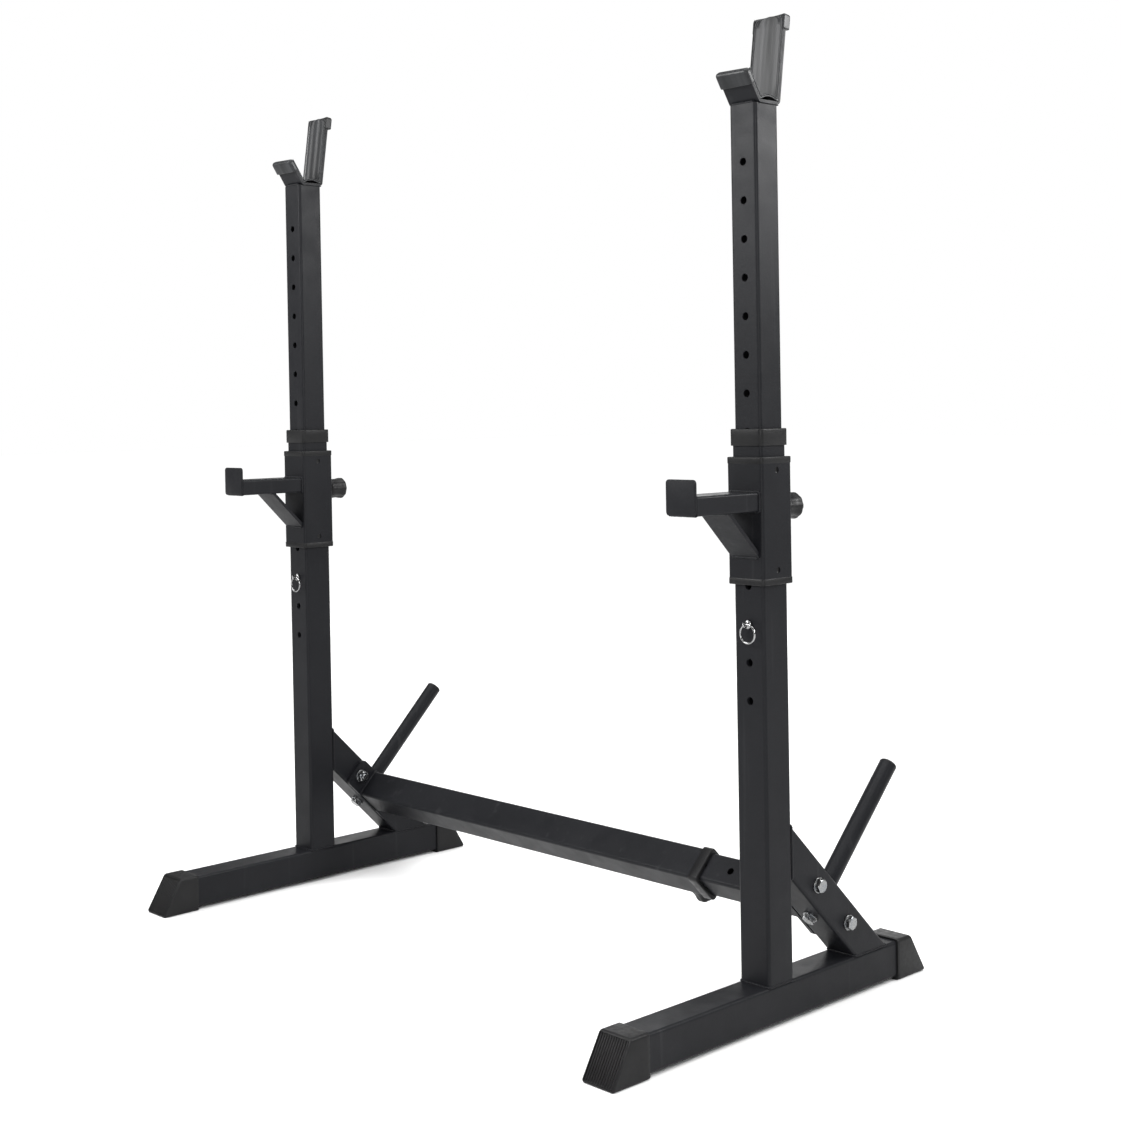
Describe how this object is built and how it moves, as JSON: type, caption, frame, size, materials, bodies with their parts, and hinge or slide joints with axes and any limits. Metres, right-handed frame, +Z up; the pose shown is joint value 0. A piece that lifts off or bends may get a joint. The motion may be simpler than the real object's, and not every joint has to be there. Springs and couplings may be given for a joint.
{
  "type": "adjustable squat stand",
  "caption": "Adjustable barbell stand: two telescoping uprights with lined bar cradles, sliding spotter arms, plate horns and a telescoping cross-beam on long feet.",
  "frame": {"origin": "on the floor, midway between the two stands and midway along their feet", "axes": "+Z up, +X from the left stand to the right stand, -Y towards the lifter, so the spotter arms point to -Y and the plate horns to +Y"},
  "size_m": [1.087, 0.626, 1.3225],
  "materials": {
    "powder_coat": "satin, very fine orange-peel texture",
    "black_plastic": "fine matt grain",
    "liner_rubber": "moulded, half matt",
    "zinc": "bright zinc plating",
    "chrome": "polished",
    "spring_steel": "oiled spring wire"
  },
  "bodies": {
    "left_stand": {"left_base_tube": "powder_coat", "left_front_foot_cap": "black_plastic", "left_rear_foot_cap": "black_plastic", "left_upright_tube": "powder_coat", "left_upright_collar": "black_plastic", "left_rear_brace": "powder_coat", "left_flange_plate": "powder_coat", "left_brace_fasteners": "zinc", "left_plate_horn": "powder_coat", "left_horn_cap": "black_plastic", "beam_outer_tube": "powder_coat", "beam_collar": "black_plastic", "beam_plunger_housing": "zinc", "beam_plunger_spring": "spring_steel"},
    "right_stand": {"right_base_tube": "powder_coat", "right_front_foot_cap": "black_plastic", "right_rear_foot_cap": "black_plastic", "right_upright_tube": "powder_coat", "right_upright_collar": "black_plastic", "right_rear_brace": "powder_coat", "right_flange_plate": "powder_coat", "right_brace_fasteners": "zinc", "right_plate_horn": "powder_coat", "right_horn_cap": "black_plastic", "beam_inner_tube": "powder_coat"},
    "left_upper": {"left_upper_tube": "powder_coat", "left_bar_cradle": "powder_coat", "left_cradle_liner": "liner_rubber"},
    "left_carriage": {"left_carriage_sleeve": "powder_coat", "left_sleeve_top_bush": "black_plastic", "left_sleeve_bottom_bush": "black_plastic", "left_bush_pegs": "black_plastic", "left_spotter_arm": "powder_coat", "left_arm_end_plate": "powder_coat", "left_arm_gusset": "powder_coat", "left_carriage_plunger_housing": "zinc", "left_carriage_plunger_spring": "spring_steel"},
    "left_carriage_plunger": {"left_carriage_plunger_pin": "zinc", "left_carriage_knob": "black_plastic"},
    "left_height_pin": {"left_ring_pin": "chrome"},
    "left_ring": {"left_pull_ring": "chrome"},
    "right_upper": {"right_upper_tube": "powder_coat", "right_bar_cradle": "powder_coat", "right_cradle_liner": "liner_rubber"},
    "right_carriage": {"right_carriage_sleeve": "powder_coat", "right_sleeve_top_bush": "black_plastic", "right_sleeve_bottom_bush": "black_plastic", "right_bush_pegs": "black_plastic", "right_spotter_arm": "powder_coat", "right_arm_end_plate": "powder_coat", "right_arm_gusset": "powder_coat", "right_carriage_plunger_housing": "zinc", "right_carriage_plunger_spring": "spring_steel"},
    "right_carriage_plunger": {"right_carriage_plunger_pin": "zinc", "right_carriage_knob": "black_plastic"},
    "right_height_pin": {"right_ring_pin": "chrome"},
    "right_ring": {"right_pull_ring": "chrome"},
    "beam_plunger": {"beam_plunger_pin": "zinc", "beam_knob": "black_plastic"}
  },
  "joints": [
    {"name": "width_slide", "type": "slide", "parent": "left_stand", "child": "right_stand", "axis": [1, 0, 0], "range_m": [-0.15, 0.15]},
    {"name": "left_height_slide", "type": "slide", "parent": "left_stand", "child": "left_upper", "axis": [0, 0, 1], "range_m": [-0.2, 0.1]},
    {"name": "left_carriage_slide", "type": "slide", "parent": "left_stand", "child": "left_carriage", "axis": [0, 0, 1], "range_m": [-0.04, 0.0125]},
    {"name": "left_carriage_knob_pull", "type": "slide", "parent": "left_carriage", "child": "left_carriage_plunger", "axis": [0, 1, 0], "range_m": [0, 0.01], "stiffness_N_per_m": 400, "springref_m": -0.006, "deforming": ["left_carriage_plunger_spring"]},
    {"name": "left_ring_pin_pull", "type": "slide", "parent": "left_stand", "child": "left_height_pin", "axis": [0, -1, 0], "range_m": [0, 0.07]},
    {"name": "left_ring_swing", "type": "hinge", "parent": "left_height_pin", "child": "left_ring", "pos_m": [-0.51, -0.03345, 0.525], "axis": [-0.9272, 0, -0.3746], "range_deg": [0, 110]},
    {"name": "right_height_slide", "type": "slide", "parent": "right_stand", "child": "right_upper", "axis": [0, 0, 1], "range_m": [-0.2, 0.1]},
    {"name": "right_carriage_slide", "type": "slide", "parent": "right_stand", "child": "right_carriage", "axis": [0, 0, 1], "range_m": [-0.04, 0.0125]},
    {"name": "right_carriage_knob_pull", "type": "slide", "parent": "right_carriage", "child": "right_carriage_plunger", "axis": [0, 1, 0], "range_m": [0, 0.01], "stiffness_N_per_m": 400, "springref_m": -0.006, "deforming": ["right_carriage_plunger_spring"]},
    {"name": "right_ring_pin_pull", "type": "slide", "parent": "right_stand", "child": "right_height_pin", "axis": [0, -1, 0], "range_m": [0, 0.07]},
    {"name": "right_ring_swing", "type": "hinge", "parent": "right_height_pin", "child": "right_ring", "pos_m": [0.51, -0.03345, 0.525], "axis": [-0.9272, 0, -0.3746], "range_deg": [0, 110]},
    {"name": "beam_knob_pull", "type": "slide", "parent": "left_stand", "child": "beam_plunger", "axis": [0, 0.7071, -0.7071], "range_m": [0, 0.01], "stiffness_N_per_m": 400, "springref_m": -0.006, "deforming": ["beam_plunger_spring"]}
  ]
}
